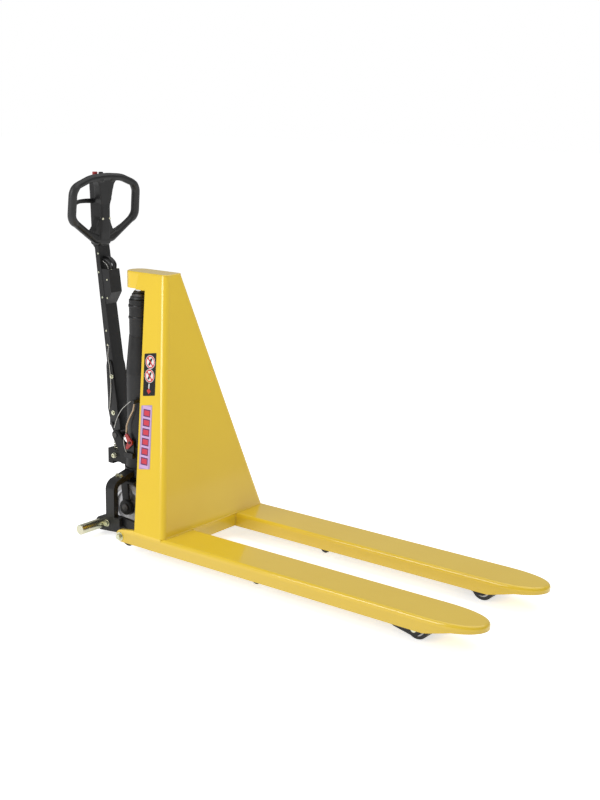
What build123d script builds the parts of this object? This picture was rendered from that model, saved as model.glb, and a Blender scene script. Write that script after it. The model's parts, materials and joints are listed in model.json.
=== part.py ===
"""High-lift pallet jack with a scissor lift, modelled as the pieces it would come apart into.

Frame: +X runs along the forks to their tips, +Z is up, the floor is z = 0 and the truck is
symmetric about y = 0. The origin is on the floor below the middle of the whole truck.
"""
from build123d import *
from math import atan2, cos, degrees, hypot, pi, radians, sin, tan
import os

os.makedirs("parts", exist_ok=True)

# ---------------------------------------------------------------- driving dimensions (mm)
foot_x = -310.5          # front face of the mast at fork height
overall_width = 520.0
fork_width = 150.0
fork_length = 1170.0     # mast face to fork tip
fork_top = 87.0          # lowered fork height
fork_bottom = 40.0
sheet = 5.0              # fork and mast plate
mast_top = 910.0
mast_lean = 180.6        # how far the top of the mast face stands behind its foot
mast_top_width = 86.0
lift_x = foot_x - 330.0  # axis of the ram, which is also the steering axis
mast_x = foot_x + 9.0     # front face of the mast itself
pin_x = foot_x - 186.0   # the rear scissor pins
link = 1151.0            # rear pin to front roller, along each arm
load_wheel_r = 37.5
steer_wheel_r = 85.0
pin_rise = 10.0          # scissor centre above the lower rear pin
running = 0.05           # radial clearance of a pin that turns in its hole

half_width = overall_width / 2
inner_wall = half_width - fork_width
roller_x = pin_x + link
centre_x = pin_x + link / 2
base_pin_z = load_wheel_r
centre_z = base_pin_z + pin_rise
fork_pin_z = base_pin_z + 2 * pin_rise
mast_height = mast_top - fork_top
side_rise = half_width - mast_top_width / 2
SIDES = (-1, 1)


# ---------------------------------------------------------------- helpers
def keep(piece, name):
    """Label a finished piece and write it as its own STEP file."""
    piece.part.label = name
    export_step(piece.part, f"parts/{name}.step")


def block(x0, x1, y0, y1, z0, z1, mode=Mode.ADD):
    """A box between two corners, in the current part."""
    with BuildSketch(Plane.XY.offset(z0)) as section:
        with Locations(((x0 + x1) / 2, (y0 + y1) / 2)):
            Rectangle(abs(x1 - x0), abs(y1 - y0))
    extrude(section.sketch, amount=z1 - z0, mode=mode)


def span(side, near, far):
    """The low and high y of something between two distances from the centre plane."""
    return sorted((side * near, side * far))


def rod_y(x, z, radius, y0, y1, mode=Mode.ADD):
    """A round bar or hole along Y."""
    with BuildSketch(Plane.XZ.offset(-y1)) as section:
        with Locations((x, z)):
            Circle(radius)
    extrude(section.sketch, amount=y1 - y0, mode=mode)


def rod_z(x, y, radius, z0, z1, mode=Mode.ADD):
    """A round bar or hole along Z."""
    with BuildSketch(Plane.XY.offset(z0)) as section:
        with Locations((x, y)):
            Circle(radius)
    extrude(section.sketch, amount=z1 - z0, mode=mode)


def tube_z(x, y, outer, inner, z0, z1):
    """A tube along Z."""
    rod_z(x, y, outer, z0, z1)
    rod_z(x, y, inner, z0, z1, mode=Mode.SUBTRACT)


def hull_y(circles, y0, y1):
    """A plate across Y whose outline is stretched round circles given as (x, z, radius)."""
    with BuildSketch(Plane.XZ.offset(-y1)) as section:
        with BuildLine():
            for x, z, radius in circles:
                CenterArc((x, z), radius, 0, 360)
        make_hull()
    extrude(section.sketch, amount=y1 - y0)


def prism_y(points, y0, y1, mode=Mode.ADD):
    """A plate across Y with straight edges, through (x, z) points."""
    with BuildSketch(Plane.XZ.offset(-y1)) as section:
        with BuildLine():
            Polyline(*points, close=True)
        make_face()
    extrude(section.sketch, amount=y1 - y0, mode=mode)


def hexagon_y(x, z, radius, y0, y1):
    """A hexagonal head or nut with its axis along Y."""
    with BuildSketch(Plane.XZ.offset(-y1)) as section:
        with Locations((x, z)):
            RegularPolygon(radius, 6)
    extrude(section.sketch, amount=y1 - y0)


# ---------------------------------------------------------------- the mast
def mast_hull(inset, corner):
    """The mast as a closed wedge: leaning front, sides that close in towards the top."""
    front = inset * hypot(mast_height, mast_lean) / mast_height
    flank = inset * hypot(mast_height, side_rise) / mast_height
    depth = 420.0
    with BuildPart() as wedge:
        with BuildSketch(Plane.XY.offset(fork_top)):
            with Locations((mast_x - front - depth / 2, 0)):
                Rectangle(depth, 2 * (half_width - flank))
        with BuildSketch(Plane.XY.offset(mast_top)):
            with Locations((mast_x - front - (depth + mast_lean) / 2, 0)):
                Rectangle(depth - mast_lean, mast_top_width - 2 * flank)
        loft()
        slanted = wedge.edges().filter_by(lambda e: abs(e.center().Z - (fork_top + mast_top) / 2) < 1)
        fillet(slanted.sort_by(Axis.X)[-2:], radius=corner)
    return wedge.part


arm_x = foot_x - 295.0      # where the sides meet the round rear end of the cap
cap_bottom = 857.0
rear_top = (foot_x - 253.0, cap_bottom)
rear_foot = (foot_x - 120.0, 94.0)
mast_profile = [
    (mast_x + 1, fork_top),
    (mast_x + 1, mast_top),
    (arm_x, mast_top),
    (arm_x, cap_bottom),
    rear_top,
    rear_foot,
    (foot_x - 122.0, fork_top),
]

with BuildPart() as mast_skin:
    add(mast_hull(0.0, 18.0))
    add(mast_hull(sheet, 13.0), mode=Mode.SUBTRACT)
    prism_y(mast_profile, -half_width, half_width, mode=Mode.INTERSECT)

seam_y = half_width - 23.0
seam_planes = {
    side: Plane(origin=(0, side * seam_y, fork_top), x_dir=(1, 0, 0), z_dir=(0, side * mast_height, side_rise))
    for side in SIDES
}

with BuildPart() as front_plate:
    add(mast_skin.part)
    for side in SIDES:
        split(bisect_by=seam_planes[side], keep=Keep.BOTTOM)
keep(front_plate, "front_plate")

for side, name in ((-1, "right_side_plate"), (1, "left_side_plate")):
    with BuildPart() as side_plate:
        add(mast_skin.part)
        split(bisect_by=seam_planes[side], keep=Keep.TOP)
        block(foot_x - 122, foot_x, *span(side, half_width - 9, half_width), fork_top - 9, fork_top)
    keep(side_plate, name)

cap_r = mast_top_width / 2
rod_r = 16.0
with BuildPart() as top_plate:
    with BuildSketch(Plane.XY.offset(mast_top)):
        with BuildLine():
            Polyline((lift_x, cap_r), (mast_x - mast_lean, cap_r), (mast_x - mast_lean, -cap_r), (lift_x, -cap_r))
            CenterArc((lift_x, 0), cap_r, 90, 180)
        make_face()
    extrude(amount=4.5)
    fillet(top_plate.edges().filter_by(Axis.Z).sort_by(Axis.X)[-2:], radius=15)
    fillet(top_plate.faces().sort_by(Axis.Z)[-1].edges(), radius=4)
keep(top_plate, "top_plate")

with BuildPart() as top_cap:
    with BuildSketch(Plane.XY.offset(cap_bottom)):
        with BuildLine():
            Polyline((lift_x, cap_r), (arm_x, cap_r), (arm_x, -cap_r), (lift_x, -cap_r))
            CenterArc((lift_x, 0), cap_r, 90, 180)
        make_face()
        with BuildLine(mode=Mode.PRIVATE) as inner:
            Polyline((lift_x, cap_r - 7), (arm_x + 1, cap_r - 7), (arm_x + 1, 7 - cap_r), (lift_x, 7 - cap_r))
            CenterArc((lift_x, 0), cap_r - 7, 90, 180)
        make_face(inner.edges(), mode=Mode.SUBTRACT)
    extrude(amount=mast_top - cap_bottom)
    tube_z(lift_x, 0, cap_r - 7, rod_r, 885, mast_top)
keep(top_cap, "top_cap")

# ---------------------------------------------------------------- the forks
nose_start = foot_x + 1000.0
tip_x = foot_x + fork_length
ramp_x = foot_x + 1003.0
fork_rear = foot_x - 122.0
fork_middle = half_width - fork_width / 2
for side, name in ((-1, "right_fork"), (1, "left_fork")):
    middle = side * fork_middle
    w = fork_width / 2
    with BuildPart() as fork:
        with BuildSketch(Plane.XY.offset(fork_bottom)):
            with BuildLine():
                Polyline((nose_start, middle + w), (fork_rear, middle + w), (fork_rear, middle - w), (nose_start, middle - w))
                Bezier((nose_start, middle + w), (nose_start + 95, middle + w), (tip_x, middle + 52), (tip_x, middle))
                Bezier((tip_x, middle), (tip_x, middle - 52), (nose_start + 95, middle - w), (nose_start, middle - w))
            make_face()
        extrude(amount=fork_top - fork_bottom)
        rim = fork.faces().sort_by(Axis.Z)[-1].edges().filter_by(lambda e: e.center().X > fork_rear + 1)
        fillet(rim, radius=10)
        block(fork_rear - 1, foot_x + 1030, *span(side, inner_wall + sheet, half_width - sheet),
              fork_bottom - 1, fork_top - sheet, mode=Mode.SUBTRACT)
        block(mast_x + 1.5, mast_x + 3, *span(side, inner_wall - 1, half_width + 1), fork_top - 0.6, fork_top + 1,
              mode=Mode.SUBTRACT)
        prism_y([(ramp_x, fork_bottom - 1), (tip_x + 1, fork_bottom - 1), (tip_x + 1, 67), (ramp_x + 85, 61), (ramp_x, fork_bottom)],
                *span(side, inner_wall - 1, half_width + 1), mode=Mode.SUBTRACT)
        block(fork_rear - 1, foot_x, *span(side, half_width - 9, half_width + 1),
              fork_top - 9, fork_top + 1, mode=Mode.SUBTRACT)
    keep(fork, name)

sill_rear = foot_x - 122.0
sill_profile = [
    (mast_x, fork_bottom + 2),
    (mast_x, fork_top),
    (sill_rear, fork_top),
    (sill_rear, 60),
    (sill_rear + sheet, 60),
    (sill_rear + sheet, fork_top - sheet),
    (foot_x - sheet, fork_top - sheet),
    (foot_x - sheet, fork_bottom + 2),
]
with BuildPart() as cross_sill:
    prism_y(sill_profile, -inner_wall, inner_wall)
keep(cross_sill, "cross_sill")

pin_r = 8.0
lug_thickness = 12.0
with BuildPart() as rear_lugs:
    for side in SIDES:
        y0, y1 = span(side, half_width - lug_thickness, half_width)
        with BuildSketch(Plane.XZ.offset(-y1)):
            with BuildLine():
                CenterArc((pin_x + 5, 61), 21, 0, 360)
                Polyline((fork_rear, fork_bottom), (fork_rear, 92))
            make_hull()
            with Locations((pin_x, fork_pin_z)):
                Circle(pin_r, mode=Mode.SUBTRACT)
        extrude(amount=y1 - y0)
keep(rear_lugs, "rear_lugs")

load_arm_y = (231.0, 245.0)
with BuildPart() as fork_pivot_bolts:
    for side in SIDES:
        rod_y(pin_x, fork_pin_z, pin_r, *span(side, load_arm_y[0] - 4, half_width + 11))
        hexagon_y(pin_x, fork_pin_z, 10.5, *span(side, half_width + 1.8, half_width + 8.5))
        rod_y(pin_x, fork_pin_z, 15, *span(side, half_width, half_width + 1.8))
        rod_y(pin_x, fork_pin_z, 12, *span(side, load_arm_y[0] - 4, load_arm_y[0] - 1))
keep(fork_pivot_bolts, "fork_pivot_bolts")


# ---------------------------------------------------------------- labels on the right side plate
def label_on_side(name, rear, top_z, width, height):
    """A thin plate on the right flank, in line with the mast's rear edge."""
    along_z = Vector(0, side_rise, mast_height).normalized()
    rear_lean = (rear_foot[0] - rear_top[0]) / (rear_top[1] - rear_foot[1])
    up = (along_z - Vector(rear_lean, 0, 0)).normalized()
    outward = Vector(0, -mast_height, side_rise).normalized()
    y = -half_width + side_rise * (top_z - fork_top) / mast_height
    face = Plane(origin=Vector(rear, y, top_z), x_dir=up.cross(outward), z_dir=outward)
    with BuildPart() as label:
        with BuildSketch(face):
            with Locations((width / 2, -height / 2)):
                RectangleRounded(width, height, 3)
        extrude(amount=0.6)
    keep(label, name)


label_on_side("safety_label", foot_x - 206, 656, 53, 142)
label_on_side("name_panel", foot_x - 181, 490, 48, 212)

# ---------------------------------------------------------------- scissor arms
load_axle_r = 10.0
boss_r = 19.0
riser_y = (117.0, 127.0)
with BuildPart() as load_arms:
    for side in SIDES:
        y0, y1 = span(side, *load_arm_y)
        hull_y([(pin_x, fork_pin_z, 22), (pin_x + 24, 51, 25)], y0, y1)
        block(pin_x + 20, foot_x + 905, y0, y1, 36, 76)
        hull_y([(foot_x + 905, 52, 24), (roller_x, load_wheel_r, 22)], y0, y1)
        rod_y(centre_x, centre_z, boss_r, y0, y1)
        block(foot_x + 893, foot_x + 905, *span(side, 140, load_arm_y[0]), 38, 72)
        hull_y([(foot_x + 899, 52, 16), (roller_x, load_wheel_r, 20)], *span(side, 140, 146))
        rod_y(pin_x, fork_pin_z, pin_r + running, y0, y1, mode=Mode.SUBTRACT)
        rod_y(centre_x, centre_z, 10, y0, y1, mode=Mode.SUBTRACT)
        rod_y(roller_x, load_wheel_r, load_axle_r, *span(side, 139, 246), mode=Mode.SUBTRACT)
keep(load_arms, "load_arms")

with BuildPart() as scissor_pins:
    for side in SIDES:
        rod_y(centre_x, centre_z, 10, *span(side, riser_y[0] - 1.5, 246.5))
        rod_y(centre_x, centre_z, 14, *span(side, riser_y[1] + 0.5, load_arm_y[0]))
keep(scissor_pins, "scissor_pins")

load_wheel_y = (149.0, 227.0)
with BuildPart() as load_axles:
    for side in SIDES:
        rod_y(roller_x, load_wheel_r, load_axle_r, *span(side, 140, 247))
keep(load_axles, "load_axles")

for side, word in ((-1, "right"), (1, "left")):
    y0, y1 = span(side, *load_wheel_y)
    with BuildPart() as load_tyre:
        rod_y(roller_x, load_wheel_r, load_wheel_r, y0, y1)
        fillet(load_tyre.edges(), radius=3)
        rod_y(roller_x, load_wheel_r, 26, y0, y1, mode=Mode.SUBTRACT)
    keep(load_tyre, f"{word}_load_tyre")
    with BuildPart() as load_hub:
        rod_y(roller_x, load_wheel_r, 26, y0, y1)
        for rim_side in SIDES:
            edge = (y0 + y1) / 2 + rim_side * (y1 - y0) / 2
            inner = sorted((edge, edge - rim_side * 4))
            rod_y(roller_x, load_wheel_r, 22, *inner, mode=Mode.SUBTRACT)
        rod_y(roller_x, load_wheel_r, load_axle_r + running, y0, y1, mode=Mode.SUBTRACT)
    keep(load_hub, f"{word}_load_hub")

track_roller_r = fork_top - sheet - fork_pin_z - 0.5
shaft_r = 12.0
with BuildPart() as riser_arms:
    for side in SIDES:
        y0, y1 = span(side, *riser_y)
        hull_y([(pin_x, base_pin_z, 20), (pin_x + 40, 55, 20)], y0, y1)
        block(pin_x + 40, foot_x + 930, y0, y1, 37, 75)
        hull_y([(foot_x + 930, 56, 19), (roller_x, fork_pin_z, 17)], y0, y1)
        rod_y(centre_x, centre_z, boss_r, y0, y1)
        rod_y(pin_x, base_pin_z, shaft_r + running, y0, y1, mode=Mode.SUBTRACT)
        rod_y(centre_x, centre_z, 10 + running, y0, y1, mode=Mode.SUBTRACT)
        rod_y(roller_x, fork_pin_z, 8, *span(side, riser_y[1] - 1, 139))
keep(riser_arms, "riser_arms")

with BuildPart() as riser_cross_tube:
    rod_y(pin_x + 48, 55, 16, -riser_y[0], riser_y[0])
    rod_y(pin_x + 48, 55, 12, -riser_y[0], riser_y[0], mode=Mode.SUBTRACT)
keep(riser_cross_tube, "riser_cross_tube")

for side, word in ((-1, "right"), (1, "left")):
    with BuildPart() as track_roller:
        rod_y(roller_x, fork_pin_z, track_roller_r, *span(side, 128, 137))
        chamfer(track_roller.edges(), length=1)
        rod_y(roller_x, fork_pin_z, 8 + running, *span(side, 127, 138), mode=Mode.SUBTRACT)
    keep(track_roller, f"{word}_track_roller")

# ---------------------------------------------------------------- base frame behind the mast
bar_x = foot_x - 379.0
bar_z = 37.0
bar_r = 17.5
base_plate_y = (131.0, 143.0)
foot_y = (130.0, 160.0)
block_front = foot_x - 288.0
with BuildPart() as foot_blocks:
    for side in SIDES:
        y0, y1 = span(side, *foot_y)
        with BuildSketch(Plane.XZ.offset(-y1)):
            with BuildLine():
                CenterArc((bar_x, bar_z), 24.5, 0, 360)
                Polyline((foot_x - 364, 70), (block_front, 70), (block_front, 20))
            make_hull()
            with Locations((bar_x, bar_z)):
                Circle(bar_r, mode=Mode.SUBTRACT)
        extrude(amount=y1 - y0)
keep(foot_blocks, "foot_blocks")

with BuildPart() as stabiliser_bars:
    for side in SIDES:
        rod_y(bar_x, bar_z, bar_r, *span(side, foot_y[0], half_width))
    chamfer(stabiliser_bars.edges().filter_by(GeomType.CIRCLE), length=1.2)
keep(stabiliser_bars, "stabiliser_bars")

with BuildPart() as foot_block_bolts:
    for side in SIDES:
        hexagon_y(foot_x - 349, 43, 10.5, *span(side, foot_y[1] + 2, foot_y[1] + 9))
        rod_y(foot_x - 349, 43, 12.5, *span(side, foot_y[1], foot_y[1] + 2))
keep(foot_block_bolts, "foot_block_bolts")

with BuildPart() as base_side_plates:
    for side in SIDES:
        y0, y1 = span(side, *base_plate_y)
        with BuildSketch(Plane.XZ.offset(-y1)):
            with BuildLine():
                CenterArc((pin_x, base_pin_z), 22, 0, 360)
                Polyline((block_front, 38), (block_front, 69), (block_front + 20, 69))
            make_hull()
            with Locations((pin_x, base_pin_z)):
                Circle(shaft_r, mode=Mode.SUBTRACT)
        extrude(amount=y1 - y0)
keep(base_side_plates, "base_side_plates")

with BuildPart() as rear_pivot_shaft:
    rod_y(pin_x, base_pin_z, shaft_r, -148, 148)
    rod_y(pin_x, base_pin_z, 17, -riser_y[0] + 1, riser_y[0] - 1)
    for side in SIDES:
        rod_y(pin_x, base_pin_z, 16, *span(side, base_plate_y[1], 147))
keep(rear_pivot_shaft, "rear_pivot_shaft")

leg_y = 150.0
leg_slope = 0.247
bend_z = 184.6
ring_r = 62.0
leg_end_y = 57.0
with BuildPart() as stabiliser_legs:
    for side in SIDES:
        with BuildLine():
            FilletPolyline(
                (lift_x - 3, side * leg_y, 70),
                (lift_x - 3, side * leg_y, bend_z),
                (lift_x - 3, side * leg_end_y, bend_z + (leg_y - leg_end_y) * leg_slope),
                radius=26,
            )
        with BuildSketch(Plane.XY.offset(70)):
            with Locations((lift_x - 3, side * leg_y)):
                Rectangle(40, 20)
        sweep()
    rod_z(lift_x, 0, ring_r, 180, 240, mode=Mode.SUBTRACT)
keep(stabiliser_legs, "stabiliser_legs")

stem_r = 45.0
with BuildPart() as bridge_ring:
    tube_z(lift_x, 0, ring_r, stem_r + running, 189, 221)
keep(bridge_ring, "bridge_ring")

with BuildPart() as bridge_bolts:
    for side in SIDES:
        bolt_z = bend_z + (leg_y - 111) * leg_slope + 10 * hypot(1, leg_slope)
        for bolt_x in (lift_x - 13, lift_x + 5):
            seat = Plane(origin=(bolt_x, side * 111, bolt_z), x_dir=(1, 0, 0), z_dir=(0, side * leg_slope, 1))
            with BuildSketch(seat):
                Circle(8)
            extrude(amount=1.6)
            with BuildSketch(seat.offset(1.6)):
                RegularPolygon(6.5, 6)
            extrude(amount=5)
keep(bridge_bolts, "bridge_bolts")

# ---------------------------------------------------------------- steered hydraulic unit
cheek_y = (76.0, 84.0)
with BuildPart() as steer_fork:
    block(lift_x - 40, lift_x + 40, -cheek_y[1], cheek_y[1], 173, 181)
    rod_z(lift_x, 0, stem_r, 181, 222)
    for side in SIDES:
        y0, y1 = span(side, *cheek_y)
        hull_y([(lift_x, steer_wheel_r, 14), (lift_x - 8, 172, 16)], y0, y1)
        rod_y(lift_x, steer_wheel_r, 27, *span(side, cheek_y[0], 88))
        rod_y(lift_x, steer_wheel_r, 10, *span(side, cheek_y[0], 88), mode=Mode.SUBTRACT)
keep(steer_fork, "steer_fork")

with BuildPart() as steer_axle:
    rod_y(lift_x, steer_wheel_r, 10, -91, 91)
    for side in SIDES:
        rod_y(lift_x, steer_wheel_r, 13, *span(side, 88, 91))
keep(steer_axle, "steer_axle")

steer_wheel_y = (28.0, 74.0)
for side, word in ((-1, "right"), (1, "left")):
    y0, y1 = span(side, *steer_wheel_y)
    with BuildPart() as steer_tyre:
        rod_y(lift_x, steer_wheel_r, steer_wheel_r, y0, y1)
        fillet(steer_tyre.edges(), radius=6)
        rod_y(lift_x, steer_wheel_r, 66, y0, y1, mode=Mode.SUBTRACT)
    keep(steer_tyre, f"{word}_steer_tyre")
    with BuildPart() as steer_hub:
        rod_y(lift_x, steer_wheel_r, 66, y0 + 1, y1 - 1)
        for face_y in (y0, y1 - 9):
            with BuildSketch(Plane.XZ.offset(-(face_y + 9))):
                with Locations((lift_x, steer_wheel_r)):
                    Circle(58)
                    Circle(24, mode=Mode.SUBTRACT)
            extrude(amount=9, mode=Mode.SUBTRACT)
        rod_y(lift_x, steer_wheel_r, 10 + running, y0, y1, mode=Mode.SUBTRACT)
    keep(steer_hub, f"{word}_steer_hub")

tiller_pin_x = foot_x - 416.0
tiller_pin_z = 325.0
ear_y = (37.0, 46.0)
barrel_r = 39.0
plunger_x = foot_x - 448.0
tank_r = 53.0
guide_z = (213.5, 275.0)
plunger_r = 9.0
with BuildPart() as pump_housing:
    rod_z(lift_x, 0, 58, 222, 300)
    block(foot_x - 470, lift_x, -34, 34, 224, 266)
    block(foot_x - 470, foot_x - 442, -34, 34, guide_z[0], 224)
    for side in SIDES:
        hull_y([(tiller_pin_x, tiller_pin_z, 16), (lift_x - 40, 285, 14), (lift_x - 34, 245, 18)], *span(side, *ear_y))
        block(lift_x - 60, lift_x, *span(side, 30, ear_y[1]), 226, 296)
    fillet(pump_housing.faces().sort_by(Axis.X)[0].edges().filter_by(Axis.Z), radius=8)
    rod_z(plunger_x, 0, 19, 240, 270, mode=Mode.SUBTRACT)
    rod_z(plunger_x, 0, 12, 239, guide_z[1])
    rod_z(plunger_x, 0, plunger_r + running, *guide_z, mode=Mode.SUBTRACT)
    for side in SIDES:
        rod_y(tiller_pin_x, tiller_pin_z, 9, *span(side, 30, 60), mode=Mode.SUBTRACT)
    rod_z(lift_x, 0, tank_r, 300, 360, mode=Mode.SUBTRACT)
keep(pump_housing, "pump_housing")

with BuildPart() as tiller_pin:
    rod_y(tiller_pin_x, tiller_pin_z, 9, -49, 49)
keep(tiller_pin, "tiller_pin")

cap_z = 338.0
with BuildPart() as pump_plunger:
    rod_z(plunger_x, 0, plunger_r, 268, cap_z)
    rod_z(plunger_x, 0, 15, cap_z, cap_z + 8)
keep(pump_plunger, "pump_plunger")

spring_r = 14.8
spring_wire_r = 1.8
spring_seat = 240.0
with BuildPart() as plunger_spring:
    with BuildLine():
        Helix(
            pitch=9,
            height=cap_z - spring_seat - 2 * spring_wire_r - 0.2,
            radius=spring_r,
            center=(plunger_x, 0, spring_seat + spring_wire_r + 0.1),
        )
    with BuildSketch(
        Plane(
            origin=(plunger_x + spring_r, 0, spring_seat + spring_wire_r + 0.1),
            x_dir=(1, 0, 0),
            z_dir=(0, 1, 0),
        )
    ):
        Circle(spring_wire_r)
    sweep(is_frenet=True)
keep(plunger_spring, "plunger_spring")

with BuildPart() as oil_tank:
    rod_z(lift_x, 0, tank_r, 300, 556)
    with BuildSketch(Plane.XY.offset(556)):
        with Locations((lift_x, 0)):
            Circle(tank_r)
    with BuildSketch(Plane.XY.offset(690)):
        with Locations((lift_x, 0)):
            Circle(barrel_r + 1)
    loft()
    rod_z(lift_x, 0, barrel_r, 300, 690, mode=Mode.SUBTRACT)
keep(oil_tank, "oil_tank")

stage_r = 29.0
with BuildPart() as ram_barrel:
    tube_z(lift_x, 0, barrel_r, stage_r + running, 300, 807)
keep(ram_barrel, "ram_barrel")

with BuildPart() as barrel_gland:
    tube_z(lift_x, 0, barrel_r, stage_r + running, 807, 815)
    fillet(barrel_gland.faces().sort_by(Axis.Z)[-1].edges().sort_by(SortBy.LENGTH)[-1], radius=3)
keep(barrel_gland, "barrel_gland")

with BuildPart() as stage_tube:
    tube_z(lift_x, 0, stage_r, rod_r + running, 310, 835)
    fillet(stage_tube.faces().sort_by(Axis.Z)[-1].edges().sort_by(SortBy.LENGTH)[-1], radius=3)
keep(stage_tube, "stage_tube")

with BuildPart() as lift_rod:
    rod_z(lift_x, 0, rod_r, 330, mast_top)
keep(lift_rod, "lift_rod")

lever_y = (64.0, 70.0)
cable_y = -67.0
release_pivot = (foot_x - 322.0, 318.0)
with BuildPart() as release_bracket:
    block(lift_x - 18, lift_x + 22, -72, -58, 262, 281)
    block(lift_x - 4, lift_x + 20, -63, -58, 281, 326)
    rod_y(*release_pivot, 5, -73, -60)
    block(lift_x + 24, lift_x + 36, -74, -40, 462, 474)
    rod_z(lift_x, 0, tank_r, 462, 474, mode=Mode.SUBTRACT)
    rod_z(lift_x, 0, 58, 262, 290, mode=Mode.SUBTRACT)
keep(release_bracket, "release_bracket")

with BuildPart() as release_lever:
    hull_y([(*release_pivot, 11), (foot_x - 338, 342, 6)], -lever_y[1], -lever_y[0])
    hull_y([(*release_pivot, 11), (foot_x - 336, 298, 6)], -lever_y[1], -lever_y[0])
    rod_y(*release_pivot, 5 + running, -74, -60, mode=Mode.SUBTRACT)
keep(release_lever, "release_lever")

with BuildPart() as release_cable:
    with BuildLine() as cable_route:
        FilletPolyline(
            (foot_x - 300, cable_y, 460.8),
            (foot_x - 305, cable_y, 438),
            (foot_x - 325, cable_y, 405),
            (foot_x - 338, cable_y, 378),
            (foot_x - 340, cable_y, 352),
            radius=22,
        )
    with BuildSketch(Plane(origin=cable_route.line @ 0, z_dir=cable_route.line % 0)):
        Circle(2.8)
    sweep()
keep(release_cable, "release_cable")

# ---------------------------------------------------------------- tiller
face_slope = 0.154
tiller_face = foot_x - 440.0     # front face of the channel at z = 580
channel_half = 27.0


def tiller_front(z):
    """X of the tiller's front face at a height."""
    return tiller_face - face_slope * (z - 580.0)


press_x = foot_x - 446.0
press_z = 359.0
with BuildPart() as tiller_yoke:
    yoke_profile = [
        (tiller_front(430), 430),
        (tiller_front(430) - 34, 430),
        (foot_x - 460, 385),
        (foot_x - 460, 362),
        (tiller_pin_x - 17, 318),
        (tiller_pin_x - 6, 308),
        (tiller_pin_x + 12, 312),
    ]
    prism_y(yoke_profile, -30, 30)
    rod_y(tiller_pin_x, tiller_pin_z, 17, -30, 30)
    block(foot_x - 475, foot_x - 427, -19, 19, 300, 374, mode=Mode.SUBTRACT)
    rod_y(tiller_pin_x, tiller_pin_z, 9 + running, -31, 31, mode=Mode.SUBTRACT)
    rod_y(press_x, press_z, 6, -31, 31, mode=Mode.SUBTRACT)
    fillet(tiller_yoke.faces().sort_by(Axis.X)[0].edges().filter_by(Axis.Z), radius=4)
keep(tiller_yoke, "tiller_yoke")

with BuildPart() as press_roller:
    rod_y(press_x, press_z, 12, -14, 14)
    rod_y(press_x, press_z, 6, -36, 36)
keep(press_roller, "press_roller")

channel_foot = 430.0
channel_top = 986.0
wall = 4.0
with BuildPart() as tiller_channel:
    depth_foot = 34.0
    depth_top = 18.0
    outline = [
        (tiller_front(channel_foot), channel_foot),
        (tiller_front(channel_top), channel_top),
        (tiller_front(channel_top) - depth_top, channel_top),
        (tiller_front(channel_foot) - depth_foot, channel_foot),
    ]
    hollow = [
        (tiller_front(channel_foot) - wall, channel_foot - 1),
        (tiller_front(channel_top) - wall, channel_top + 1),
        (tiller_front(channel_top) - depth_top - 9, channel_top + 1),
        (tiller_front(channel_foot) - depth_foot - 9, channel_foot - 1),
    ]
    prism_y(outline, -channel_half, channel_half)
    prism_y(hollow, -channel_half + wall, channel_half - wall, mode=Mode.SUBTRACT)
keep(tiller_channel, "tiller_channel")

box_top = 906.0
with BuildPart() as cover_box:
    box_profile = [
        (tiller_front(box_top), box_top),
        (tiller_front(box_top) + 36, box_top),
        (tiller_front(827) + 35, 827),
        (tiller_front(786) + 2, 784),
        (tiller_front(784), 784),
    ]
    prism_y(box_profile, -26, 26)
    fillet(cover_box.edges().filter_by(Axis.Y).sort_by(Axis.X)[-2:], radius=3)
keep(cover_box, "cover_box")

# Handle: a loop in a plane that leans towards the forks, over a stem that follows the tiller.
loop_lean = radians(5.2)
loop_foot = (tiller_front(1000) - 1, 1004.0)
loop_r = 14.0
loop_plane = Plane(
    origin=(loop_foot[0], 0, loop_foot[1]),
    x_dir=(0, 1, 0),
    z_dir=(cos(loop_lean), 0, -sin(loop_lean)),
)
with BuildPart() as handle_loop:
    with BuildLine(loop_plane) as loop_path:
        FilletPolyline(
            (0, 219), (72, 214), (149, 186), (151, 78), (40, 2),
            (-40, 2), (-151, 78), (-149, 186), (-72, 214),
            radius=[300, 120, 42, 34, 28, 28, 34, 42, 120],
            close=True,
        )
    with BuildSketch(Plane(origin=loop_path.line @ 0, z_dir=loop_path.line % 0)):
        Circle(loop_r)
    sweep()
keep(handle_loop, "handle_loop")

button_foot = 1216.0
buttons = {"red_button": (foot_x - 536, -3, 9), "black_button": (foot_x - 513, 3, 8)}
with BuildPart() as handle_stem:
    stem_profile = [
        (tiller_front(986) + 2, 986),
        (tiller_front(1010) + 8, 1016),
        (foot_x - 505, 1100),
        (foot_x - 513, 1160),
        (foot_x - 500, 1196),
        (foot_x - 488, 1214),
        (foot_x - 520, 1226),
        (foot_x - 548, 1222),
        (foot_x - 549, 1165),
        (foot_x - 538, 1060),
        (tiller_front(1010) - 24, 1016),
        (tiller_front(986) - 22, 986),
    ]
    prism_y(stem_profile, -28, 28)
    fillet(handle_stem.edges().filter_by(Axis.Y), radius=3)
    add(handle_loop.part, mode=Mode.SUBTRACT)
    for button_x, button_y, button_r in buttons.values():
        rod_z(button_x, button_y, button_r + running, button_foot - 3, 1240, mode=Mode.SUBTRACT)
keep(handle_stem, "handle_stem")

with BuildPart() as stem_screws:
    for side in SIDES:
        with BuildSketch(Plane(origin=(foot_x - 503.2, side * 16, 1078), x_dir=(0, 1, 0), z_dir=(1, 0, 0.081))):
            Circle(3.5)
        extrude(amount=2.2)
keep(stem_screws, "stem_screws")

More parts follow.
